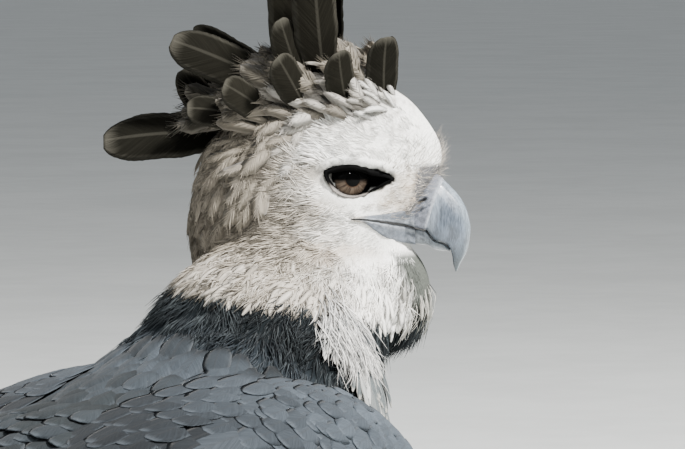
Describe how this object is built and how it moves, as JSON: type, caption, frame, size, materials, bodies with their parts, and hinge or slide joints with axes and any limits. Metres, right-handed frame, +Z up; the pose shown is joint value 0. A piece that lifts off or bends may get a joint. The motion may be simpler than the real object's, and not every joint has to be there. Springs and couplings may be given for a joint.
{
  "type": "harpy eagle",
  "caption": "Life-size standing harpy eagle with raised crest, head turned to its right, folded wings, long tail and heavy taloned feet.",
  "frame": {"origin": "centre of the part's box on the floor that the feet stand on", "axes": "+X the way the body faces and the longest side, +Y to the bird's left, +Z up"},
  "size_m": [0.811, 0.274, 0.6531],
  "materials": {
    "head_feathers": "soft pale grey feathers",
    "neck_feathers": "soft mid-grey feathers",
    "body_feathers": "soft feathers, slate above and white below",
    "wing_feathers": "slate feathers with paler edges",
    "tail_feathers": "slate feathers with broad pale bands",
    "thigh_feathers": "soft white feathers with fine dark bars",
    "scaled_skin": "dull yellow scales",
    "horn": "smooth blue-grey horn",
    "cere": "waxy grey skin",
    "claw": "polished black horn",
    "eye": "wet brown eye"
  },
  "bodies": {
    "root": {"bill_lower": "horn", "bill_upper": "horn", "cere": "cere", "claw_hind_left": "claw", "claw_hind_right": "claw", "claw_inner_left": "claw", "claw_inner_right": "claw", "claw_middle_left": "claw", "claw_middle_right": "claw", "claw_outer_left": "claw", "claw_outer_right": "claw", "eye_left": "eye", "eye_right": "eye", "foot_left": "scaled_skin", "foot_right": "scaled_skin", "head": "head_feathers", "neck": "neck_feathers", "shank_left": "scaled_skin", "shank_right": "scaled_skin", "tail": "tail_feathers", "thigh_left": "thigh_feathers", "thigh_right": "thigh_feathers", "torso": "body_feathers", "wing_left": "wing_feathers", "wing_right": "wing_feathers"}
  },
  "joints": []
}
